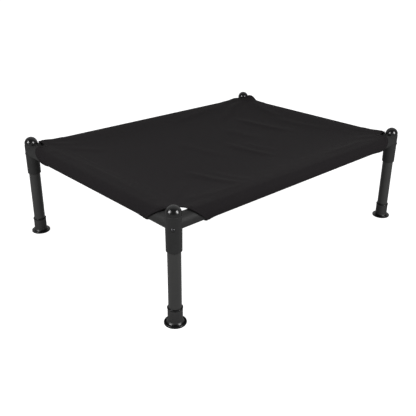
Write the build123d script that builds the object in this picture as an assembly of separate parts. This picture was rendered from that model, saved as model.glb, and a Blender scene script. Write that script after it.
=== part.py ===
from build123d import *
import os
from math import sqrt

# Raised dog bed: a cover stretched over two long and two short rails, which plug into four
# corner connectors on legs. Millimetres, +Z up. The origin is on the floor at the middle of
# the bed, X runs along the long rails and Y along the short rails.

# Driving dimensions
POST_SPACING_X = 611.0
POST_SPACING_Y = 447.0
TUBE_R = 11.0
TUBE_WALL = 1.2
RAIL_Z = 179.0
LEG_TOP_Z = 184.0

# Corner connector: a drafted post with a socket for the leg and two arms with rail sockets
POST_BOTTOM_Z = 132.0
POST_TOP_Z = 192.2
POST_BOTTOM_R = 12.95
POST_TOP_R = 13.3
ARM_ROOT_R = 12.9
ARM_END_R = 12.6
ARM_LENGTH = 72.0
SOCKET_R = 11.1
SOCKET_START = 15.0
MOUTH_CHAMFER = 0.6

# Ball cap: a dome on a spigot that plugs the top of the connector
CAP_R = 12.9
CAP_CENTRE_Z = 194.8
SPIGOT_R = 9.5
SPIGOT_LENGTH = 6.0
SPIGOT_CLEARANCE = 0.1
CAP_HOLLOW_R = 7.5

# Rubber foot: a sleeve with a lip at its mouth and a flared base
FOOT_FLOOR = 4.5
FOOT_SLEEVE_R = 12.45
FOOT_LIP_R = 13.1
FOOT_FLANGE_R = 18.65
FOOT_TOP_Z = 31.0
FOOT_FLANGE = 4.2
FOOT_FLANGE_ROUND = 1.6
FOOT_FLARE = 3.4
FOOT_LIP = 2.8
FOOT_LIP_ROUND = 0.9
FOOT_RIB_START = 10.0
FOOT_RIB_PITCH = 4.0
FOOT_RIB_COUNT = 4
FOOT_GROOVE = 0.35

# Snap button: it stands out of the post on the corner's diagonal, pushed by a leaf spring
BUTTON_Z = 172.5
BUTTON_R = 3.0
BUTTON_HOLE_R = 3.2
BUTTON_TIP = 14.6
BUTTON_DOME = 1.4
BUTTON_FLANGE_R = 4.0
BUTTON_FLANGE = 0.8
BUTTON_SEAT = 8.0
SPRING_LEAF = 0.5
SPRING_WIDTH = 6.0
SPRING_BEND_Z = 150.0
SPRING_ABOVE = 4.0
SPRING_BELOW = 5.0
SPRING_BEND_R = 3.0

# Cover: a sagging panel, a sleeve over each rail and a doubled hem round each corner cut-out
SLEEVE_INNER_R = 13.1
SLEEVE_OUTER_R = 14.2
SLEEVE_CUT_TOP = 33.0
SLEEVE_CUT_BOTTOM = 57.0
PANEL_EDGE_Z = 190.4
PANEL_SAG = 10.0
PANEL_THICKNESS = 1.2
PANEL_GAP = 0.05
PANEL_STEPS = 6
CENTRE_LINE_INSET = 5.0
CUT_OUT_R = 32.0
HEM_WIDTH = 7.0
HEM_THICKNESS = 2.4
ABOVE_ALL = 250.0

# Each corner's place and the turn about Z that points its arms along the two rails
CORNERS = {
    "front_left": (-1, -1, 0),
    "front_right": (1, -1, 90),
    "back_right": (1, 1, 180),
    "back_left": (-1, 1, 270),
}
DIAGONAL = Rot(0, 0, 225)
ALONG_X = Rot(0, 90, 0)
ALONG_Y = Rot(-90, 0, 0)
FROM_BASE = (Align.CENTER, Align.CENTER, Align.MIN)


def at_corner(shape, corner):
    """A shape modelled round the front left post's axis, moved and turned to a corner."""
    side_x, side_y, turn = CORNERS[corner]
    return Pos(side_x * POST_SPACING_X / 2, side_y * POST_SPACING_Y / 2, 0) * Rot(0, 0, turn) * shape


def round_bar(radius, start, end):
    """A cylinder along Z between two heights."""
    return Pos(0, 0, start) * Cylinder(radius, end - start, align=FROM_BASE)


def tube(radius, wall, start, end):
    """A hollow tube along Z between two heights."""
    return round_bar(radius, start, end) - round_bar(radius - wall, start, end)


def drafted_bar(radius_start, radius_end, start, end):
    """A slightly conical bar along Z between two heights."""
    return Pos(0, 0, start) * Cone(radius_start, radius_end, end - start, align=FROM_BASE)


def button_hole(reach):
    """The radial hole on the diagonal that the snap button comes through."""
    return Pos(0, 0, BUTTON_Z) * DIAGONAL * ALONG_X * round_bar(BUTTON_HOLE_R, 0, reach)


def corner_connector():
    """Moulded three-way connector with its post on the Z axis and arms along +X and +Y."""
    post = drafted_bar(POST_BOTTOM_R, POST_TOP_R, POST_BOTTOM_Z, POST_TOP_Z)
    post = chamfer(post.edges().filter_by(GeomType.CIRCLE), MOUTH_CHAMFER)
    arm = drafted_bar(ARM_ROOT_R, ARM_END_R, 0, ARM_LENGTH)
    arm = chamfer(arm.edges().filter_by(GeomType.CIRCLE).sort_by(Axis.Z)[-1], MOUTH_CHAMFER)
    outer = post + Pos(0, 0, RAIL_Z) * (ALONG_X * arm + ALONG_Y * arm)
    leg_socket = round_bar(SOCKET_R, POST_BOTTOM_Z, LEG_TOP_Z)
    cap_socket = round_bar(SPIGOT_R + SPIGOT_CLEARANCE, LEG_TOP_Z, POST_TOP_Z)
    rail_socket = round_bar(SOCKET_R, SOCKET_START, ARM_LENGTH)
    rail_sockets = Pos(0, 0, RAIL_Z) * (ALONG_X * rail_socket + ALONG_Y * rail_socket)
    return outer - leg_socket - cap_socket - rail_sockets - button_hole(POST_TOP_R + 1)


def ball_cap():
    """Glossy dome whose flat underside sits on the post, with a hollow spigot below it."""
    seat_z = POST_TOP_Z + SPIGOT_CLEARANCE
    dome = Pos(0, 0, CAP_CENTRE_Z) * Sphere(CAP_R)
    dome -= round_bar(2 * CAP_R, CAP_CENTRE_Z - 2 * CAP_R, seat_z)
    spigot = round_bar(SPIGOT_R, seat_z - SPIGOT_LENGTH, seat_z)
    hollow = round_bar(CAP_HOLLOW_R, seat_z - SPIGOT_LENGTH, CAP_CENTRE_Z)
    return dome + spigot - hollow


def leg_tube():
    """Steel leg from the foot's floor to the shoulder inside the connector."""
    return tube(TUBE_R, TUBE_WALL, FOOT_FLOOR, LEG_TOP_Z) - button_hole(TUBE_R + 1)


def foot():
    """Rubber ferrule: a turned profile with a flared base, fine grooves and a lip."""
    flange = round_bar(FOOT_FLANGE_R, 0, FOOT_FLANGE)
    flange = fillet(flange.edges().filter_by(GeomType.CIRCLE), FOOT_FLANGE_ROUND)
    flare = drafted_bar(FOOT_FLANGE_R - FOOT_FLARE, FOOT_SLEEVE_R, FOOT_FLARE, 2 * FOOT_FLARE)
    sleeve = round_bar(FOOT_SLEEVE_R, 0, FOOT_TOP_Z)
    lip = round_bar(FOOT_LIP_R, FOOT_TOP_Z - FOOT_LIP, FOOT_TOP_Z)
    lip = fillet(lip.edges().filter_by(GeomType.CIRCLE), FOOT_LIP_ROUND)
    body = flange + flare + sleeve + lip
    for i in range(FOOT_RIB_COUNT):
        z = FOOT_RIB_START + i * FOOT_RIB_PITCH
        body -= tube(FOOT_SLEEVE_R + 1, 1 + FOOT_GROOVE, z, z + 2 * FOOT_GROOVE)
    return body - round_bar(SOCKET_R, FOOT_FLOOR, FOOT_TOP_Z)


def snap_button():
    """Domed pin through the leg and the post, with a flange that keeps it inside the leg."""
    flange = round_bar(BUTTON_FLANGE_R, BUTTON_SEAT, BUTTON_SEAT + BUTTON_FLANGE)
    pin = round_bar(BUTTON_R, BUTTON_SEAT, BUTTON_TIP)
    dome_r = (BUTTON_R**2 + BUTTON_DOME**2) / (2 * BUTTON_DOME)
    pin &= Pos(0, 0, BUTTON_TIP - dome_r) * Sphere(dome_r) + round_bar(BUTTON_R, 0, BUTTON_TIP - BUTTON_DOME)
    return Pos(0, 0, BUTTON_Z) * DIAGONAL * ALONG_X * (flange + pin)


def button_spring():
    """Bent leaf spring inside the leg: one leaf behind the button, one on the far wall."""
    leaf = SPRING_LEAF / 2
    far_wall = -(sqrt((TUBE_R - TUBE_WALL) ** 2 - (SPRING_WIDTH / 2) ** 2) - SPRING_LEAF)
    path = FilletPolyline(
        (BUTTON_SEAT - leaf, BUTTON_Z + SPRING_ABOVE),
        (BUTTON_SEAT - leaf, BUTTON_Z - SPRING_BELOW),
        (0, SPRING_BEND_Z),
        (far_wall, BUTTON_Z + SPRING_ABOVE),
        radius=SPRING_BEND_R,
    )
    strip = trace(path, SPRING_LEAF)
    return DIAGONAL * Rot(90, 0, 0) * extrude(strip, SPRING_WIDTH / 2, both=True)


def rail(length):
    """Steel rail centred on Z, between the bottoms of two rail sockets."""
    half = length / 2 - SOCKET_START
    return tube(TUBE_R, TUBE_WALL, -half, half)


def sleeve(length):
    """Fabric tube round a rail along X, with both ends cut on a slant below the rail."""
    body = tube(SLEEVE_OUTER_R, SLEEVE_OUTER_R - SLEEVE_INNER_R, -length / 2, length / 2)
    body = ALONG_X * body
    low = (length / 2 - SLEEVE_CUT_BOTTOM, -SLEEVE_OUTER_R)
    high = (length / 2 - SLEEVE_CUT_TOP, SLEEVE_OUTER_R)
    side = Polyline(low, high, (-high[0], high[1]), (-low[0], low[1]), close=True)
    wedge = Rot(90, 0, 0) * extrude(make_face(side), SLEEVE_OUTER_R + 1, both=True)
    return body & wedge


def panel_height(x, y):
    """Height of the panel's upper face, level at the rails and lowest in the middle."""
    across = 1 - (2 * x / POST_SPACING_X) ** 2
    along = 1 - (2 * y / POST_SPACING_Y) ** 2
    return PANEL_EDGE_Z - PANEL_SAG * across * along


def panel_slab(thickness):
    """A sagging slab as large as the posts' rectangle, with its top at the panel's height."""
    steps = [i / PANEL_STEPS for i in range(-PANEL_STEPS, PANEL_STEPS + 1)]
    rows = [[(u * POST_SPACING_X / 2, v * POST_SPACING_Y / 2) for v in steps] for u in steps]
    points = [[Vector(x, y, panel_height(x, y)) for x, y in row] for row in rows]
    top = Face.make_surface_from_array_of_points(points)
    return thicken(top, -thickness, normal_override=(0, 0, 1))


def between_sleeves():
    """The space inside the four sleeves, where the panel and its hems lie."""
    gap_r = SLEEVE_OUTER_R + PANEL_GAP
    inset = 2 * CENTRE_LINE_INSET
    block = Pos(0, 0, RAIL_Z) * Box(POST_SPACING_X - inset, POST_SPACING_Y - inset, 3 * SLEEVE_OUTER_R)
    for side in (-1, 1):
        block -= Pos(0, side * POST_SPACING_Y / 2, RAIL_Z) * ALONG_X * Cylinder(gap_r, POST_SPACING_X)
        block -= Pos(side * POST_SPACING_X / 2, 0, RAIL_Z) * ALONG_Y * Cylinder(gap_r, POST_SPACING_Y)
    return block


def cover_panel(block):
    """The lying surface, with a round cut-out left for the hem at each corner."""
    panel = panel_slab(PANEL_THICKNESS) & block
    for corner in CORNERS:
        panel -= at_corner(round_bar(CUT_OUT_R + HEM_WIDTH + PANEL_GAP, 0, ABOVE_ALL), corner)
    return panel


def corner_hem(block):
    """Doubled strip round the front left cut-out, from one sleeve to the other."""
    ring = tube(CUT_OUT_R + HEM_WIDTH, HEM_WIDTH, 0, ABOVE_ALL)
    ring = Pos(-POST_SPACING_X / 2, -POST_SPACING_Y / 2, 0) * ring
    hem = panel_slab(HEM_THICKNESS) & block & ring
    return Pos(POST_SPACING_X / 2, POST_SPACING_Y / 2, 0) * hem


def build_nodes():
    """Every node by name, each in the bed's own frame."""
    nodes = {}
    block = between_sleeves()
    nodes["cover_panel"] = cover_panel(block)
    corner_parts = {
        "corner_connector": corner_connector(),
        "ball_cap": ball_cap(),
        "leg_tube": leg_tube(),
        "foot": foot(),
        "snap_button": snap_button(),
        "button_spring": button_spring(),
        "corner_hem": corner_hem(block),
    }
    for corner in CORNERS:
        for name, shape in corner_parts.items():
            nodes[f"{name}_{corner}"] = at_corner(shape, corner)
    for place, side in (("front", -1), ("back", 1)):
        centre = Pos(0, side * POST_SPACING_Y / 2, RAIL_Z)
        nodes[f"long_rail_{place}"] = centre * ALONG_X * rail(POST_SPACING_X)
        nodes[f"sleeve_{place}"] = centre * sleeve(POST_SPACING_X)
    for place, side in (("left", -1), ("right", 1)):
        centre = Pos(side * POST_SPACING_X / 2, 0, RAIL_Z)
        nodes[f"short_rail_{place}"] = centre * ALONG_Y * rail(POST_SPACING_Y)
        nodes[f"sleeve_{place}"] = centre * Rot(0, 0, 90) * sleeve(POST_SPACING_Y)
    return nodes


os.makedirs("parts", exist_ok=True)
for node_name, node_shape in build_nodes().items():
    export_step(node_shape, f"parts/{node_name}.step")
    print(node_name, round(node_shape.volume, 1), "mm3")
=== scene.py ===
from math import cos, pi, radians, sin

import bpy
import numpy as np
from mathutils import Matrix, Vector


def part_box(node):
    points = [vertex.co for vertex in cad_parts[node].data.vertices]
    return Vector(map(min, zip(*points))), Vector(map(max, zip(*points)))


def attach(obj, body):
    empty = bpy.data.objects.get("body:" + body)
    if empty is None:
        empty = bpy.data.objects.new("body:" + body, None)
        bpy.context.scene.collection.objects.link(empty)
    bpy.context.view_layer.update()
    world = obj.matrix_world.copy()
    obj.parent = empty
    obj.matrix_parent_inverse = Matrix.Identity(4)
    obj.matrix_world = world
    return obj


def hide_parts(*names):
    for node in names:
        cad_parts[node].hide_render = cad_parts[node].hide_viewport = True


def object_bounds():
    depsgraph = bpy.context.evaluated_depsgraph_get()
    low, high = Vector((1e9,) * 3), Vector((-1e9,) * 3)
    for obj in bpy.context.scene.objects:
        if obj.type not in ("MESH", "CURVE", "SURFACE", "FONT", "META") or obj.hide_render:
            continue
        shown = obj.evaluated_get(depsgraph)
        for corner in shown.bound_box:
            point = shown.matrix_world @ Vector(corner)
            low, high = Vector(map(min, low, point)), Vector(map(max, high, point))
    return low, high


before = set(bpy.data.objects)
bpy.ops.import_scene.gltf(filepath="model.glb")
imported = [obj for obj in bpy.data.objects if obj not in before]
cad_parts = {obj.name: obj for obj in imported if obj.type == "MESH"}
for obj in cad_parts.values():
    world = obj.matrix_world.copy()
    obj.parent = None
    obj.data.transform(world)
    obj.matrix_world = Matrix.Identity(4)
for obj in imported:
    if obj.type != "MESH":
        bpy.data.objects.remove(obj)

cad_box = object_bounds()
MM = 0.001
CORNERS = ("front_left", "front_right", "back_right", "back_left")

# ---------------------------------------------------------------------------------------------
# Camera. It stands about 1.2 m off the front left corner, a little above the bed, and looks
# down across it with a normal lens. The bed sits slightly right of and above the middle.
CAMERA_PLACE = (-0.7933, -0.8234, 0.5545)
CAMERA_TURN, CAMERA_DOWN, CAMERA_ROLL = -43.773, 22.682, 0.778
camera_data = bpy.data.cameras.new("camera")
camera_data.sensor_width = 36
camera_data.lens = 49.54
camera_data.shift_x = -0.0194
camera_data.shift_y = -0.0424
camera = bpy.data.objects.new("camera", camera_data)
camera.matrix_world = (Matrix.Translation(CAMERA_PLACE) @ Matrix.Rotation(radians(CAMERA_TURN), 4, "Z")
                       @ Matrix.Rotation(radians(90 - CAMERA_DOWN), 4, "X")
                       @ Matrix.Rotation(radians(CAMERA_ROLL), 4, "Z"))
bpy.context.scene.collection.objects.link(camera)
bpy.context.scene.camera = camera

# ---------------------------------------------------------------------------------------------
# Feet. Each is a moulded rubber ferrule pushed over the end of a leg, with a flared base that
# stands on the floor. The base comes out of a polished mould and is glossy; the sleeve is dull.
FOOT_BASE = 5 * MM
# From FOOT_LIP up, the top 3 mm of each ferrule is painted near-black and glossy: painted shade of the gap
# where the leg goes in.
FOOT_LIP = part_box("foot_front_left")[1].z - 3 * MM


def linear(hex_colour):
    """An sRGB hex colour as linear red, green and blue, with an alpha of 1."""
    parts = [int(hex_colour[i:i + 2], 16) / 255 for i in (0, 2, 4)]
    return [c / 12.92 if c <= 0.04045 else ((c + 0.055) / 1.055) ** 2.4 for c in parts] + [1.0]


def add(material, kind, settings=None, links=None):
    """Adds one node with its properties or socket values, links its inputs, and returns it."""
    tree = material.node_tree
    node = tree.nodes.new(kind)
    for name, value in (settings or {}).items():
        if isinstance(name, str) and name in node.bl_rna.properties:
            setattr(node, name, value)
        else:
            node.inputs[name].default_value = value
    for name, output in (links or {}).items():
        tree.links.new(output, node.inputs[name])
    return node


def new_material(name):
    """An empty node material."""
    material = bpy.data.materials.new(name)
    material.use_nodes = True
    material.node_tree.nodes.clear()
    return material


def paint(names, material):
    """Gives CAD nodes a finish through their own material slots."""
    for name in names:
        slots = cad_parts[name].data.materials
        slots.clear()
        slots.append(material)


def moulded_rubber():
    """Moulded rubber: near mirror-black on the flared base, satin and faintly dusty above it, with painted
    shade: its top 3 mm is painted near-black for the gap where the leg goes in.
    """
    material = new_material("moulded_rubber")
    place = add(material, "ShaderNodeTexCoord").outputs["Object"]
    height = add(material, "ShaderNodeSeparateXYZ", None, {"Vector": place}).outputs["Z"]
    above = add(material, "ShaderNodeMapRange", {"From Min": FOOT_BASE, "From Max": FOOT_BASE + 2 * MM},
                {"Value": height}).outputs["Result"]
    unshaded_below_lip = add(material, "ShaderNodeMapRange", {"From Min": FOOT_LIP, "From Max": FOOT_LIP + 0.4 * MM,
                                               "To Min": 1.0, "To Max": 0.0}, {"Value": height})
    sleeve = add(material, "ShaderNodeMath", {"operation": "MULTIPLY"},
                 {0: above, 1: unshaded_below_lip.outputs["Result"]}).outputs["Value"]
    dust = add(material, "ShaderNodeTexNoise", {"Scale": 1 / (2.5 * MM), "Detail": 4.0, "Roughness": 0.6},
               {"Vector": place}).outputs["Fac"]
    skin = add(material, "ShaderNodeMix", {"data_type": "RGBA", 6: linear("353535"), 7: linear("403f3f")},
               {0: dust}).outputs[2]
    # The near-black 131314 covers the glossy base, which is the rubber's own colour, and the top lip, where
    # it is painted shade.
    colour = add(material, "ShaderNodeMix", {"data_type": "RGBA", 6: linear("131314")},
                 {0: sleeve, 7: skin}).outputs[2]
    gloss = add(material, "ShaderNodeMapRange", {"To Min": 0.2, "To Max": 0.5}, {"Value": sleeve})
    rough = add(material, "ShaderNodeMath", {"operation": "MULTIPLY_ADD", 1: 0.12},
                {0: dust, 2: gloss.outputs["Result"]}).outputs["Value"]
    bump = add(material, "ShaderNodeBump", {"Strength": 0.3, "Distance": 0.05 * MM}, {"Height": dust})
    shader = add(material, "ShaderNodeBsdfPrincipled", {"IOR": 1.52},
                 {"Base Color": colour, "Roughness": rough, "Normal": bump.outputs["Normal"]})
    add(material, "ShaderNodeOutputMaterial", None, {"Surface": shader.outputs["BSDF"]})
    return material


paint([f"foot_{corner}" for corner in CORNERS], moulded_rubber())

# ---------------------------------------------------------------------------------------------
# Legs and rails. Drawn steel tube, cut to length and powder coated black. The powder melts into
# a satin skin with a fine orange peel, which breaks up the edges of every reflection.
RAILS = ("long_rail_front", "long_rail_back", "short_rail_left", "short_rail_right")


def powder_coat():
    """Black powder coat: satin, with orange peel about a millimetre and a half across."""
    material = new_material("powder_coat")
    place = add(material, "ShaderNodeTexCoord").outputs["Object"]
    peel = add(material, "ShaderNodeTexNoise", {"Scale": 1 / (1.5 * MM), "Detail": 2.0, "Roughness": 0.5},
               {"Vector": place}).outputs["Fac"]
    cloud = add(material, "ShaderNodeTexNoise", {"Scale": 1 / (35 * MM), "Detail": 3.0},
                {"Vector": place}).outputs["Fac"]
    colour = add(material, "ShaderNodeMix", {"data_type": "RGBA", 6: linear("3f3f3f"), 7: linear("484847")},
                 {0: cloud}).outputs[2]
    rough = add(material, "ShaderNodeMapRange", {"To Min": 0.36, "To Max": 0.46}, {"Value": cloud})
    bump = add(material, "ShaderNodeBump", {"Strength": 0.3, "Distance": 0.04 * MM}, {"Height": peel})
    shader = add(material, "ShaderNodeBsdfPrincipled", {"IOR": 1.5},
                 {"Base Color": colour, "Roughness": rough.outputs["Result"],
                  "Normal": bump.outputs["Normal"]})
    add(material, "ShaderNodeOutputMaterial", None, {"Surface": shader.outputs["BSDF"]})
    return material


paint([f"leg_tube_{corner}" for corner in CORNERS] + list(RAILS), powder_coat())

# ---------------------------------------------------------------------------------------------
# Snap buttons and their springs. A bent leaf of spring steel inside each leg pushes a domed
# steel pin out through the leg and the connector, which locks the leg in its socket.


def spring_steel():
    """Bare rolled spring steel, with its grain along the upright strip."""
    material = new_material("spring_steel")
    place = add(material, "ShaderNodeTexCoord").outputs["Object"]
    stretch = add(material, "ShaderNodeMapping", {"Scale": (1 / (0.4 * MM), 1 / (0.4 * MM), 1 / (8 * MM))},
                  {"Vector": place}).outputs["Vector"]
    grain = add(material, "ShaderNodeTexNoise", {"Scale": 1.0, "Detail": 2.0},
                {"Vector": stretch}).outputs["Fac"]
    rough = add(material, "ShaderNodeMapRange", {"To Min": 0.25, "To Max": 0.4}, {"Value": grain})
    bump = add(material, "ShaderNodeBump", {"Strength": 0.2, "Distance": 0.02 * MM}, {"Height": grain})
    shader = add(material, "ShaderNodeBsdfPrincipled", {"Base Color": linear("a9a9ac"), "Metallic": 1.0},
                 {"Roughness": rough.outputs["Result"], "Normal": bump.outputs["Normal"]})
    add(material, "ShaderNodeOutputMaterial", None, {"Surface": shader.outputs["BSDF"]})
    return material


def blackened_steel():
    """Black oxide on turned steel, a little greyer where use has rubbed it."""
    material = new_material("blackened_steel")
    place = add(material, "ShaderNodeTexCoord").outputs["Object"]
    rub = add(material, "ShaderNodeTexNoise", {"Scale": 1 / (0.8 * MM), "Detail": 4.0},
              {"Vector": place}).outputs["Fac"]
    colour = add(material, "ShaderNodeMix", {"data_type": "RGBA", 6: linear("3a3a3b"), 7: linear("5a5a5c")},
                 {0: rub}).outputs[2]
    rough = add(material, "ShaderNodeMapRange", {"To Min": 0.15, "To Max": 0.28}, {"Value": rub})
    shader = add(material, "ShaderNodeBsdfPrincipled", {"Metallic": 0.8},
                 {"Base Color": colour, "Roughness": rough.outputs["Result"]})
    add(material, "ShaderNodeOutputMaterial", None, {"Surface": shader.outputs["BSDF"]})
    return material


paint([f"button_spring_{corner}" for corner in CORNERS], spring_steel())
paint([f"snap_button_{corner}" for corner in CORNERS], blackened_steel())

# ---------------------------------------------------------------------------------------------
# Corner connectors. Injection moulded black polypropylene, one piece with three sockets. The
# mould has a fine spark texture and closes on the diagonal, where it leaves a parting line.
low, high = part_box("long_rail_front")
TUBE_R, RAIL_Z, HALF_Y = (high.z - low.z) / 2, (high.z + low.z) / 2, -(high.y + low.y) / 2
low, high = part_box("short_rail_right")
HALF_X = (low.x + high.x) / 2


def moulded_plastic():
    """Spark-textured black plastic with faint flow marks and a thin parting line."""
    material = new_material("moulded_plastic")
    place = add(material, "ShaderNodeTexCoord").outputs["Object"]
    spark = add(material, "ShaderNodeTexNoise", {"Scale": 1 / (0.7 * MM), "Detail": 4.0, "Roughness": 0.7},
                {"Vector": place}).outputs["Fac"]
    flow = add(material, "ShaderNodeTexNoise", {"Scale": 1 / (18 * MM), "Detail": 2.0, "Distortion": 1.5},
               {"Vector": place}).outputs["Fac"]
    size = add(material, "ShaderNodeVectorMath", {"operation": "ABSOLUTE"}, {0: place}).outputs["Vector"]
    parts = add(material, "ShaderNodeSeparateXYZ", None, {"Vector": size}).outputs
    skew = add(material, "ShaderNodeMath", {"operation": "SUBTRACT"}, {0: parts["X"], 1: parts["Y"]})
    line = add(material, "ShaderNodeMath", {"operation": "COMPARE", 1: HALF_X - HALF_Y, 2: 0.25 * MM},
               {0: skew.outputs["Value"]}).outputs["Value"]
    colour = add(material, "ShaderNodeMix", {"data_type": "RGBA", 6: linear("2f2f2f"), 7: linear("393939")},
                 {0: flow}).outputs[2]
    rough = add(material, "ShaderNodeMapRange", {"To Min": 0.48, "To Max": 0.6}, {"Value": flow})
    height = add(material, "ShaderNodeMath", {"operation": "ADD"}, {0: spark, 1: line}).outputs["Value"]
    bump = add(material, "ShaderNodeBump", {"Strength": 0.35, "Distance": 0.06 * MM}, {"Height": height})
    shader = add(material, "ShaderNodeBsdfPrincipled", {"IOR": 1.49, "Specular IOR Level": 0.32},
                 {"Base Color": colour, "Roughness": rough.outputs["Result"],
                  "Normal": bump.outputs["Normal"]})
    add(material, "ShaderNodeOutputMaterial", None, {"Surface": shader.outputs["BSDF"]})
    return material


paint([f"corner_connector_{corner}" for corner in CORNERS], moulded_plastic())

# ---------------------------------------------------------------------------------------------
# Ball caps. Moulded ABS with a polished mould face, plugged into the top of each connector. They
# are the only glossy part of the bed, so they carry small sharp reflections and a few scuffs.


def polished_abs():
    """Glossy black ABS with hair scratches too fine to see one by one."""
    material = new_material("polished_abs")
    place = add(material, "ShaderNodeTexCoord").outputs["Object"]
    scuff = add(material, "ShaderNodeTexNoise", {"Scale": 1 / (3 * MM), "Detail": 5.0, "Roughness": 0.7},
                {"Vector": place}).outputs["Fac"]
    rough = add(material, "ShaderNodeMapRange",
                {"From Min": 0.45, "From Max": 0.7, "To Min": 0.2, "To Max": 0.28}, {"Value": scuff})
    colour = add(material, "ShaderNodeMix", {"data_type": "RGBA", 6: linear("141415"), 7: linear("1b1b1b")},
                 {0: scuff}).outputs[2]
    shader = add(material, "ShaderNodeBsdfPrincipled", {"IOR": 1.54, "Specular IOR Level": 0.8},
                 {"Base Color": colour, "Roughness": rough.outputs["Result"]})
    add(material, "ShaderNodeOutputMaterial", None, {"Surface": shader.outputs["BSDF"]})
    return material


paint([f"ball_cap_{corner}" for corner in CORNERS], polished_abs())

# ---------------------------------------------------------------------------------------------
# Cover. One piece of black woven polyester, cut flat with four side flaps and a round bite out
# of each corner. Each flap goes out over its rail and back under to a seam, which makes a sleeve.
CLOTH = 0.9 * MM
OVER_TUBE = TUBE_R + 1.7 * MM
# The cloth stands further off a connector's arm than off the rail, and flares at the bite's edge.
ARM_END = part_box("corner_connector_front_left")[1].x + HALF_X
OVER_ARM, ARM_EARLY, ARM_FADE = 0.9 * MM, 6 * MM, 16 * MM
EDGE_FLARE, FLARE_AT, FLARE_RUN, RAISED_WIDTH = 2.2 * MM, 31 * MM, 15 * MM, 18 * MM
# How deep the panel sags, how far in from the rails it gets half way there, and how far in the
# folds start. Small puckers, 62 mm from each post, fan out of the bites.
SAG, SAG_RUN, TIGHT_RIM = 13 * MM, 56 * MM, 25 * MM
PUCKER, PUCKER_AT, PUCKER_RUN = 0.6 * MM, 62 * MM, 30 * MM
# Each flap is sewn to the panel along a lap this far inside the rail's axis.
SEAM_IN, LAP, LAP_GAP = 38 * MM, 8 * MM, 2 * MM
FLAP = 92 * MM
# How far the cloth stops short of each post's axis, in millimetres: on top of the long rail and
# under it, then on top of the short rail and under it. The cover has shifted a little in use.
REACH = {"front_left": (28, 61, 22, 58), "front_right": (28, 51, 17, 52),
         "back_right": (16, 50, 16, 50), "back_left": (17, 52, 31, 64)}
SIDES = dict(zip(CORNERS, ((-1, -1), (1, -1), (1, 1), (-1, 1))))
BITE_RUN, BITE_SQUARE = 38 * MM, 3 * MM
PANEL_PITCH, FLAP_PITCH = 4 * MM, 2.8 * MM
# The loose end of the right sleeve stands up beside the back right cap.
LIFT_AT, LIFT, LIFT_R = (HALF_X, HALF_Y - 20 * MM), 8 * MM, 11 * MM
# Cloth hanging loose under each rail: the middle of the long sides has the most.
LONG_SLACK, SHORT_SLACK = 1.2 * MM, 0.5 * MM
# Soft folds in the lying surface, from one end to the other, then half width and height, all in
# millimetres from the middle of the bed.
FOLDS = (
    (-160, -86, -136, -200, 9, 2.1),
    (-130, -100, -112, -196, 10, 1.1),
    (14, -8, 27, -122, 10, 2.1),
    (40, -20, 60, -110, 12, 1.0),
    (160, 108, 186, -40, 11, 2.2),
    (84, 70, 100, -30, 14, 1.3),
    (-60, 60, -44, -60, 14, 1.1),
    (232, 60, 246, -90, 12, 1.4),
    (96, -203, 236, -208, 8, 1.6),
    (-240, -196, -130, -206, 8, 1.0),
    (-285, -130, -283, 160, 8, 1.3),
    (256, 200, 120, 120, 10, 1.7),
    (284, 180, 246, 40, 10, 1.5),
    (200, 206, 20, 176, 11, 1.2),
    (-262, -180, -196, -116, 10, 1.3),
    (-270, 180, -200, 110, 11, 1.2),
)


def step(value):
    """A smooth step from 0 to 1."""
    t = np.clip(value, 0, 1)
    return t * t * (3 - 2 * t)


def over_rail(from_post, off_axis):
    """How much further off a rail's axis the cloth runs over a connector's arm and at the bite."""
    arm = 1 - step((from_post - ARM_END + ARM_EARLY) / ARM_FADE)
    flare = np.exp(-((from_post - FLARE_AT) / FLARE_RUN) ** 2)
    return (OVER_ARM * arm + EDGE_FLARE * flare) * np.exp(-(off_axis / RAISED_WIDTH) ** 2)


def fold_height(x, y):
    """The soft folds, each a slightly bowed ridge that fades out at its ends."""
    height = np.zeros_like(x)
    for fold in FOLDS:
        x0, y0, x1, y1, width, rise = [value * MM for value in fold]
        length = np.hypot(x1 - x0, y1 - y0)
        along = ((x - x0) * (x1 - x0) + (y - y0) * (y1 - y0)) / length**2 - 0.5
        off = ((x - x0) * (y1 - y0) - (y - y0) * (x1 - x0)) / length + 0.1 * length * along**2
        height += rise * np.exp(-((off / width) ** 2)) * np.exp(-((2.2 * along) ** 4))
    return height


def corner_pull(dx, dy):
    """Small puckers that fan out of each corner, where the cloth is pulled round the bite."""
    reach, angle = np.hypot(dx, dy), np.arctan2(dy, dx)
    fan = np.cos(9 * angle + 0.8) + 0.6 * np.cos(14 * angle - 1.1)
    return PUCKER * fan * np.exp(-(((reach - PUCKER_AT) / PUCKER_RUN) ** 2))


def panel_top(x, y):
    """Height of the lying surface: tight along the rails, sagging between them."""
    dx, dy = np.maximum(HALF_X - np.abs(x), 0), np.maximum(HALF_Y - np.abs(y), 0)
    hollow = SAG * dx**2 / (dx**2 + SAG_RUN**2) * dy**2 / (dy**2 + SAG_RUN**2)
    lift = np.maximum(over_rail(dx, dy), over_rail(dy, dx))
    lift += LIFT * np.exp(-((x - LIFT_AT[0]) ** 2 + (y - LIFT_AT[1]) ** 2) / LIFT_R**2)
    inner = step(dx / TIGHT_RIM) * step(dy / TIGHT_RIM)
    return RAIL_Z + OVER_TUBE + lift - hollow + inner * (fold_height(x, y) + corner_pull(dx, dy))


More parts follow.
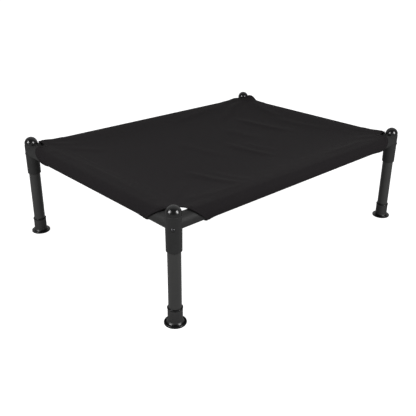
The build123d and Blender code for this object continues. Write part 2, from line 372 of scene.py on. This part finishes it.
def flap_point(out, edge_z, seam_z, slack):
    """Where flap cloth is, at a flat distance out from the line on top of the rail: how far inside
    the rail's axis, how high, and whether it is past the seam, in the lap."""
    radius = edge_z - RAIL_Z
    seam_up = seam_z - RAIL_Z
    reach = np.hypot(SEAM_IN, seam_up)
    leave = 2 * pi + np.arctan2(seam_up, SEAM_IN) - np.arccos(radius / reach)
    wrap, run = radius * (leave - pi / 2), np.sqrt(reach**2 - radius**2)
    gone = np.maximum(out, 0) / FLAP * (wrap + run + LAP)
    turn = pi / 2 + np.minimum(gone, wrap) / radius
    rest = np.clip(gone - wrap, 0, run)
    hang = slack * np.sin(pi * np.minimum(gone / (wrap + run), 1))
    inside = (radius + hang) * np.cos(turn) - rest * np.sin(turn)
    height = RAIL_Z + (radius + hang) * np.sin(turn) + rest * np.cos(turn)
    return inside + np.maximum(gone - wrap - run, 0), height, gone > wrap + run


def cloth_point(u, v):
    """Where a point of the flat cloth lies: u runs along the long rails, v across the bed."""
    x, y = np.clip(u, -HALF_X, HALF_X), np.clip(v, -HALF_Y, HALF_Y)
    z = panel_top(x, y)
    sides = ((u, HALF_X, SHORT_SLACK), (v, HALF_Y, LONG_SLACK))
    for which, (flat, half, slack) in enumerate(sides):
        on_flap = np.abs(flat) > half
        sign = np.sign(flat)
        seam = (sign * (half - SEAM_IN), y) if which == 0 else (x, sign * (half - SEAM_IN))
        edge = (sign * half, y) if which == 0 else (x, sign * half)
        inside, height, lapped = flap_point(np.abs(flat) - half, panel_top(*edge),
                                            panel_top(*seam) - LAP_GAP, slack)
        moved = sign * (half - inside)
        under = panel_top(*((moved, y) if which == 0 else (x, moved))) - LAP_GAP
        z = np.where(on_flap, np.where(lapped, under, height), z)
        if which == 0:
            x = np.where(on_flap, moved, x)
        else:
            y = np.where(on_flap, moved, y)
    return np.stack((x, y, z), axis=-1)


def bite_edge(corner, a, b):
    """Distance from the post's axis to the bite's edge, seen from a point a, b outward of it."""
    top_long, under_long, top_short, under_short = [reach * MM for reach in REACH[corner]]
    across = np.arctan2(np.maximum(-b, 0), np.maximum(-a, 1e-9))
    lying = top_long * np.cos(across) ** 2 + top_short * np.sin(across) ** 2
    lying += BITE_SQUARE * np.sin(2 * across) ** 2
    on_long = top_long + (under_long - top_long) * step(b / BITE_RUN)
    on_short = top_short + (under_short - top_short) * step(a / BITE_RUN)
    return np.where(b > 0, on_long, np.where(a > 0, on_short, lying))


def inside_bite(u, v):
    """Distance from the nearest bite's edge into the cloth; below 0 the cloth is cut away."""
    a, b = np.abs(u) - HALF_X, np.abs(v) - HALF_Y
    reach = sum(np.where((u * side_u >= 0) & (v * side_v >= 0), bite_edge(corner, a, b), 0)
                for corner, (side_u, side_v) in SIDES.items())
    away = np.where(b > 0, -a, np.where(a > 0, -b, np.hypot(np.minimum(a, 0), np.minimum(b, 0))))
    return np.where((a > 0) & (b > 0), -HALF_Y, away - reach)


def grid_lines(half):
    """Flat positions of the mesh lines: even on the lying part, closer round the tube."""
    lying = np.linspace(-half, half, 2 * round(half / PANEL_PITCH) + 1)
    flap = np.linspace(0, FLAP, round(FLAP / FLAP_PITCH) + 1)[1:]
    return np.concatenate((-half - flap[::-1], lying, half + flap))


def woven_polyester():
    """Plain-weave black polyester. The yarns are 0.5 mm apart and are drawn at twice that, because
    closer ones would not show at all. Each yarn's crimp bumps the cloth, and its colour is painted lighter
    on the yarn's crown, a painted sheen, and darker between yarns, painted shade. The shader adds a faint
    dull sheen of its own."""
    material = new_material("woven_polyester")
    flat = add(material, "ShaderNodeUVMap", {"uv_map": "flat_cloth"}).outputs["UV"]
    turns = add(material, "ShaderNodeVectorMath", {"operation": "SCALE", "Scale": pi / (1.0 * MM)},
                {0: flat})
    waves = add(material, "ShaderNodeVectorMath", {"operation": "SINE"}, {0: turns.outputs["Vector"]})
    wave = add(material, "ShaderNodeSeparateXYZ", None, {"Vector": waves.outputs["Vector"]}).outputs
    over = add(material, "ShaderNodeMath", {"operation": "MULTIPLY"}, {0: wave["X"], 1: wave["Y"]})
    over = add(material, "ShaderNodeMath", {"operation": "GREATER_THAN", 1: 0.0}, {0: over.outputs["Value"]})
    warp = add(material, "ShaderNodeMath", {"operation": "ABSOLUTE"}, {0: wave["X"]}).outputs["Value"]
    weft = add(material, "ShaderNodeMath", {"operation": "ABSOLUTE"}, {0: wave["Y"]}).outputs["Value"]
    yarn = add(material, "ShaderNodeMix", {"data_type": "FLOAT"},
               {0: over.outputs["Value"], 2: warp, 3: weft}).outputs[0]
    slub = add(material, "ShaderNodeTexNoise", {"Scale": 1 / (3 * MM), "Detail": 3.0, "Roughness": 0.7},
               {"Vector": flat}).outputs["Fac"]
    cloud = add(material, "ShaderNodeTexNoise", {"Scale": 1 / (70 * MM), "Detail": 3.0, "Roughness": 0.5},
                {"Vector": flat}).outputs["Fac"]
    # Painted light in the weave: colour runs from the darker gap tone, painted shade between yarns, to
    # 282527 on each yarn's crown, painted sheen. The 70 mm cloud is random tone.
    cloud_tone_and_gap_shade = add(material, "ShaderNodeMix", {"data_type": "RGBA", 6: linear("191719"), 7: linear("201e1f")},
               {0: cloud}).outputs[2]
    colour = add(material, "ShaderNodeMix", {"data_type": "RGBA", 7: linear("282527")},
                 {0: yarn, 6: cloud_tone_and_gap_shade}).outputs[2]
    rough = add(material, "ShaderNodeMapRange", {"To Min": 0.74, "To Max": 0.9}, {"Value": slub})
    height = add(material, "ShaderNodeMath", {"operation": "MULTIPLY_ADD", 1: 0.6}, {0: slub, 2: yarn})
    bump = add(material, "ShaderNodeBump", {"Strength": 0.4, "Distance": 0.12 * MM},
               {"Height": height.outputs["Value"]})
    shader = add(material, "ShaderNodeBsdfPrincipled",
                 {"IOR": 1.5, "Specular IOR Level": 0.14, "Sheen Weight": 0.03, "Sheen Roughness": 0.45,
                  "Sheen Tint": linear("b8b2b0")},
                 {"Base Color": colour, "Roughness": rough.outputs["Result"],
                  "Normal": bump.outputs["Normal"]})
    add(material, "ShaderNodeOutputMaterial", None, {"Surface": shader.outputs["BSDF"]})
    return material


def mesh_object(name, points, faces, material):
    """A new object from points and faces, smooth all over."""
    mesh = bpy.data.meshes.new(name)
    mesh.from_pydata([tuple(point) for point in points], [], faces)
    mesh.materials.append(material)
    mesh.shade_smooth()
    obj = bpy.data.objects.new(name, mesh)
    bpy.context.scene.collection.objects.link(obj)
    return obj


def only(obj):
    """Selects one object and makes it active."""
    bpy.ops.object.select_all(action="DESELECT")
    obj.select_set(True)
    bpy.context.view_layer.objects.active = obj


def cut_cloth():
    """The flat cloth's mesh: grid points moved onto the bites' edges, and the faces left between them."""
    lines_u, lines_v = grid_lines(HALF_X), grid_lines(HALF_Y)
    u, v = [grid.ravel() for grid in np.meshgrid(lines_u, lines_v, indexing="ij")]
    rows = len(lines_v)
    first = (np.arange(len(lines_u) - 1)[:, None] * rows + np.arange(rows - 1)[None, :]).ravel()
    quads = np.stack((first, first + rows, first + rows + 1, first + 1), axis=1)
    kept = quads[inside_bite(u[quads].mean(axis=1), v[quads].mean(axis=1)) > 0]
    used = np.unique(kept)
    near = used[np.abs(inside_bite(u[used], v[used])) < 1.2 * PANEL_PITCH]
    edges = np.sort(np.concatenate([kept[:, [i, (i + 1) % 4]] for i in range(4)]), axis=1)
    pairs, count = np.unique(edges, axis=0, return_counts=True)
    rim = np.intersect1d(np.unique(pairs[count == 1]), near)
    nudge = 0.05 * MM
    for _ in range(8):
        gap = inside_bite(u[rim], v[rim])
        slope_u = (inside_bite(u[rim] + nudge, v[rim]) - inside_bite(u[rim] - nudge, v[rim])) / (2 * nudge)
        slope_v = (inside_bite(u[rim], v[rim] + nudge) - inside_bite(u[rim], v[rim] - nudge)) / (2 * nudge)
        steep = np.maximum(slope_u**2 + slope_v**2, 0.5)
        move = np.clip(gap / steep, -PANEL_PITCH, PANEL_PITCH)
        u[rim] -= np.clip(move * slope_u, -PANEL_PITCH, PANEL_PITCH)
        v[rim] -= np.clip(move * slope_v, -PANEL_PITCH, PANEL_PITCH)
    number = np.full(len(u), -1)
    number[used] = np.arange(len(used))
    return u[used], v[used], number[kept]


flat_u, flat_v, cloth_faces = cut_cloth()
cloth_material = woven_polyester()
cover = mesh_object("cover", cloth_point(flat_u, flat_v), cloth_faces.tolist(), cloth_material)
uv_layer = cover.data.uv_layers.new(name="flat_cloth")
loop_points = np.zeros(len(cover.data.loops), dtype=np.int32)
cover.data.loops.foreach_get("vertex_index", loop_points)
uv_layer.data.foreach_set("uv", np.stack((flat_u[loop_points], flat_v[loop_points]), axis=1).ravel())
thick = cover.modifiers.new("thickness", "SOLIDIFY")
thick.thickness = CLOTH
thick.offset = -1
only(cover)
bpy.ops.object.modifier_apply(modifier="thickness")
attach(cover, "frame")
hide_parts("cover_panel", "sleeve_front", "sleeve_back", "sleeve_left", "sleeve_right")

# ---------------------------------------------------------------------------------------------
# Corner hems. The cut edge of each bite is bound with a folded strip of the same cloth, from the
# seam under one rail, round the post, to the seam under the other. Two ridges run along it.
HEM_PITCH, HEM_TURN, HEM_STEP = 2.5 * MM, 24 * MM, 1.1 * MM
# Across the hem: how far into the cloth from its edge, and how far off its middle, in millimetres.
HEM_SECTION = (
    (7.4, 0.5), (7.0, 0.95), (6.2, 1.1), (5.0, 0.7), (3.4, 0.7), (1.8, 1.1), (0.6, 1.1), (-0.3, 0.8),
    (-0.6, 0.0), (-0.3, -0.8), (0.6, -1.0), (2.0, -0.9), (4.0, -0.7), (6.2, -0.9), (7.0, -0.8), (7.4, -0.4),
)


def bite_path(corner):
    """Flat points along a bite's edge, outward of its post, and the way from them into the cloth."""
    out = np.arange(FLAP - LAP - 4 * MM, 0, -HEM_PITCH)
    on_short = bite_edge(corner, out, -1 + 0 * out)
    on_long = bite_edge(corner, -1 + 0 * out, out)
    across = np.linspace(pi / 2, 0, 2 * round(HEM_TURN / HEM_PITCH) + 1)
    lying = bite_edge(corner, -np.cos(across), -np.sin(across))
    a = np.concatenate((out, -lying * np.cos(across), -on_long[::-1]))
    b = np.concatenate((-on_short, -lying * np.sin(across), out[::-1]))
    da, db = np.gradient(a), np.gradient(b)
    length = np.hypot(da, db)
    return a, b, -db / length, da / length


def cloth_frame(u, v):
    """A cloth point and the unit normal off its upper face."""
    reach = 0.5 * MM
    along_u = cloth_point(u + reach, v) - cloth_point(u - reach, v)
    along_v = cloth_point(u, v + reach) - cloth_point(u, v - reach)
    normal = np.cross(along_u, along_v)
    return cloth_point(u, v), normal / np.linalg.norm(normal, axis=-1, keepdims=True)


for corner, (sign_u, sign_v) in SIDES.items():
    path_a, path_b, into_a, into_b = bite_path(corner)
    rings = []
    for across, off in HEM_SECTION:
        point, normal = cloth_frame(sign_u * (HALF_X + path_a + into_a * across * MM),
                                    sign_v * (HALF_Y + path_b + into_b * across * MM))
        rings.append(point + normal * (off * MM - CLOTH / 2))
    rings = np.stack(rings, axis=1)
    count, around = rings.shape[:2]
    faces = [(i * around + j, i * around + (j + 1) % around, (i + 1) * around + (j + 1) % around,
              (i + 1) * around + j) for i in range(count - 1) for j in range(around)]
    faces += [tuple(range(around)), tuple(reversed([(count - 1) * around + j for j in range(around)]))]
    if sign_u * sign_v > 0:
        faces = [tuple(reversed(face)) for face in faces]
    hem = mesh_object(f"hem_{corner}", rings.reshape(-1, 3), faces, cloth_material)
    uv_layer = hem.data.uv_layers.new(name="flat_cloth")
    for loop in hem.data.loops:
        ring, part = divmod(loop.vertex_index, around)
        uv_layer.data[loop.index].uv = (ring * HEM_PITCH, part * HEM_STEP)
    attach(hem, "frame")
    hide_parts(f"corner_hem_{corner}")

# ---------------------------------------------------------------------------------------------
# Stitches. Black bonded thread holds each hem down with one row, and closes the four sleeves with
# a row along each lap. A stitch shows as a short length of thread, on both faces of the cloth.
STITCH, STITCH_PITCH, THREAD_R = 2.6 * MM, 3.4 * MM, 0.26 * MM
HEM_ROW, SEAM_END = 5 * MM, 6 * MM
HEM_FACE, HEM_BACK = 0.3 * MM, -1.2 * MM


def bonded_thread():
    """Twisted polyester sewing thread: the bonding makes it smoother than the cloth, and the twist
    of its plies, 0.5 mm apart, gives it fine ridges."""
    material = new_material("bonded_thread")
    place = add(material, "ShaderNodeTexCoord").outputs["Object"]
    ply = add(material, "ShaderNodeTexNoise", {"Scale": 1 / (0.5 * MM), "Detail": 2.0},
              {"Vector": place}).outputs["Fac"]
    colour = add(material, "ShaderNodeMix", {"data_type": "RGBA", 6: linear("1c1b1b"), 7: linear("2c2a2b")},
                 {0: ply}).outputs[2]
    rough = add(material, "ShaderNodeMapRange", {"To Min": 0.45, "To Max": 0.62}, {"Value": ply})
    bump = add(material, "ShaderNodeBump", {"Strength": 0.5, "Distance": 0.08 * MM}, {"Height": ply})
    shader = add(material, "ShaderNodeBsdfPrincipled", {"IOR": 1.5, "Specular IOR Level": 0.35},
                 {"Base Color": colour, "Roughness": rough.outputs["Result"],
                  "Normal": bump.outputs["Normal"]})
    add(material, "ShaderNodeOutputMaterial", None, {"Surface": shader.outputs["BSDF"]})
    return material


def one_stitch(name):
    """A length of thread along X with rounded ends."""
    bpy.ops.object.select_all(action="DESELECT")
    bpy.ops.mesh.primitive_cylinder_add(vertices=6, radius=THREAD_R, depth=STITCH,
                                        rotation=(0, pi / 2, 0))
    stitch = bpy.context.object
    stitch.name = name
    bpy.ops.object.transform_apply(location=True, rotation=True, scale=True)
    bpy.ops.object.mode_set(mode="EDIT")
    bpy.ops.mesh.select_all(action="SELECT")
    bpy.ops.mesh.bevel(offset=THREAD_R / 2, segments=1)
    bpy.ops.object.mode_set(mode="OBJECT")
    stitch.data.shade_smooth()
    return stitch


def sew(name, rows):
    """One piece of stitches along rows on the flat cloth, each row at a distance off its outer face."""
    stitch = one_stitch(name)
    places = []
    for u, v, off in rows:
        run = np.concatenate(([0], np.cumsum(np.hypot(np.diff(u), np.diff(v)))))
        middles = np.arange(STITCH_PITCH / 2, run[-1], STITCH_PITCH)
        ends = [cloth_frame(np.interp(middles + half, run, u), np.interp(middles + half, run, v))
                for half in (-STITCH / 2, STITCH / 2)]
        for start, up, stop, up_too in zip(*ends[0], *ends[1]):
            along = Vector(stop - start).normalized()
            normal = Vector(up + up_too).normalized()
            across = normal.cross(along).normalized()
            place = Matrix((along, across, along.cross(across))).transposed().to_4x4()
            place.translation = Vector((start + stop) / 2) + normal * off
            places.append(place)
    others = [stitch.copy() for _ in places[1:]]
    for other in others:
        bpy.context.scene.collection.objects.link(other)
    only(stitch)
    for obj, place in zip([stitch] + others, places):
        obj.matrix_world = place
        obj.select_set(True)
    bpy.ops.object.join()
    bpy.ops.object.transform_apply(location=True, rotation=True, scale=True)
    stitch.data.materials.append(thread_material)
    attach(stitch, "frame")


thread_material = bonded_thread()
for corner, (sign_u, sign_v) in SIDES.items():
    path_a, path_b, into_a, into_b = bite_path(corner)
    row_u = sign_u * (HALF_X + path_a + into_a * HEM_ROW)
    row_v = sign_v * (HALF_Y + path_b + into_b * HEM_ROW)
    sew(f"hem_stitches_{corner}", [(row_u, row_v, HEM_FACE), (row_u, row_v, HEM_BACK)])


def between(first, last, half, column):
    """Flat positions along a seam, from just past the cut edge at one corner to the same at the other."""
    start, stop = REACH[first][column] * MM - half + SEAM_END, half - REACH[last][column] * MM - SEAM_END
    return np.arange(start, stop, STITCH)


ACROSS_SEAM = (-SEAM_IN - LAP / 2, FLAP - LAP / 2)
seam_rows = []
for first, last in (("front_left", "front_right"), ("back_left", "back_right")):
    row_u = between(first, last, HALF_X, 1)
    for out in ACROSS_SEAM:
        seam_rows.append((row_u, 0 * row_u + SIDES[first][1] * (HALF_Y + out), 0.0))
for first, last in (("front_left", "back_left"), ("front_right", "back_right")):
    row_v = between(first, last, HALF_Y, 3)
    for out in ACROSS_SEAM:
        seam_rows.append((0 * row_v + SIDES[first][0] * (HALF_X + out), row_v, 0.0))
sew("seam_stitches", seam_rows)

# ---------------------------------------------------------------------------------------------
# Studio. The bed stands on a pale floor with a white wall all round it. A glow comes from high
# behind the bed, the room is dim, and a softbox hangs on each side of the camera.
SWEEP_R, SWEEP_UP = 3.5, 3.0
BEHIND_GLOW, GROUND_GLOW, CEILING_GLOW, FRONT_GLOW = 0.4, 0.24, 0.03, 0.05
BEHIND_WAY = (0, 0.86, 0.5)


def pale_floor():
    """Matt white vinyl, lit so evenly that it shows no shadow, with a trace of mottling."""
    material = new_material("pale_floor")
    place = add(material, "ShaderNodeTexCoord").outputs["Object"]
    mottle = add(material, "ShaderNodeTexNoise", {"Scale": 4.0, "Detail": 2.0},
                 {"Vector": place}).outputs["Fac"]
    colour = add(material, "ShaderNodeMix", {"data_type": "RGBA", 6: linear("fdfdfd"), 7: linear("ffffff")},
                 {0: mottle}).outputs[2]
    shader = add(material, "ShaderNodeBsdfPrincipled",
                 {"Roughness": 0.9, "Specular IOR Level": 0.0, "Base Color": linear("dddddd"),
                  "Emission Strength": 0.95}, {"Emission Color": colour})
    add(material, "ShaderNodeOutputMaterial", None, {"Surface": shader.outputs["BSDF"]})
    return material


bpy.ops.object.select_all(action="DESELECT")
bpy.ops.mesh.primitive_circle_add(vertices=96, radius=SWEEP_R, fill_type="NGON",
                                  location=(0, 0, cad_box[0][2]))
floor = bpy.context.object
floor.name = "floor"
bpy.ops.object.mode_set(mode="EDIT")
bpy.ops.mesh.select_mode(type="EDGE")
bpy.ops.mesh.select_all(action="SELECT")
bpy.ops.mesh.region_to_loop()
bpy.ops.mesh.extrude_region_move(TRANSFORM_OT_translate={"value": (0, 0, SWEEP_UP)})
bpy.ops.object.mode_set(mode="OBJECT")
floor.data.shade_smooth()
floor.data.materials.append(pale_floor())
floor.visible_diffuse = floor.visible_glossy = floor.visible_shadow = False

world = bpy.data.worlds.new("studio")
world.use_nodes = True
world.node_tree.nodes.clear()
way = add(world, "ShaderNodeTexCoord").outputs["Generated"]
up = add(world, "ShaderNodeSeparateXYZ", None, {"Vector": way}).outputs["Z"]
behind = Matrix.Rotation(radians(CAMERA_TURN), 3, "Z") @ Vector(BEHIND_WAY)
toward = add(world, "ShaderNodeVectorMath", {"operation": "DOT_PRODUCT", 1: behind},
             {0: way}).outputs["Value"]
backdrop = add(world, "ShaderNodeMapRange",
               {"From Min": 0.2, "From Max": 0.8, "To Min": 0.0, "To Max": BEHIND_GLOW},
               {"Value": toward}).outputs["Result"]
fill = add(world, "ShaderNodeMapRange",
           {"From Min": -0.2, "From Max": -0.9, "To Min": 0.0, "To Max": FRONT_GLOW},
           {"Value": toward}).outputs["Result"]
room = add(world, "ShaderNodeMapRange",
           {"From Min": -0.1, "From Max": 0.1, "To Min": GROUND_GLOW, "To Max": CEILING_GLOW},
           {"Value": up}).outputs["Result"]
total = add(world, "ShaderNodeMath", {"operation": "ADD"}, {0: backdrop, 1: room}).outputs["Value"]
total = add(world, "ShaderNodeMath", {"operation": "ADD"}, {0: total, 1: fill}).outputs["Value"]
sky = add(world, "ShaderNodeBackground", {"Color": linear("ffffff")}, {"Strength": total})
add(world, "ShaderNodeOutputWorld", None, {"Surface": sky.outputs["Background"]})
bpy.context.scene.world = world
bpy.context.scene.view_settings.view_transform = "Standard"

SOFTBOX_AWAY, SOFTBOX_UP, SOFTBOX_SIDE = 1.6, 29, 50
SOFTBOX_SIZE = (0.55, 0.65)
SOFTBOX_WATTS = {-1: 10.2, 1: 11.7}
for side, power in SOFTBOX_WATTS.items():
    softbox_data = bpy.data.lights.new("softbox", "AREA")
    softbox_data.shape = "RECTANGLE"
    softbox_data.size, softbox_data.size_y = SOFTBOX_SIZE
    softbox_data.energy = power
    softbox = bpy.data.objects.new("softbox", softbox_data)
    turn = radians(CAMERA_TURN - 90 + side * SOFTBOX_SIDE)
    way_out = Vector((cos(turn) * cos(radians(SOFTBOX_UP)), sin(turn) * cos(radians(SOFTBOX_UP)),
                      sin(radians(SOFTBOX_UP))))
    softbox.location = way_out * SOFTBOX_AWAY
    softbox.rotation_euler = way_out.to_track_quat("Z", "Y").to_euler()
    bpy.context.scene.collection.objects.link(softbox)
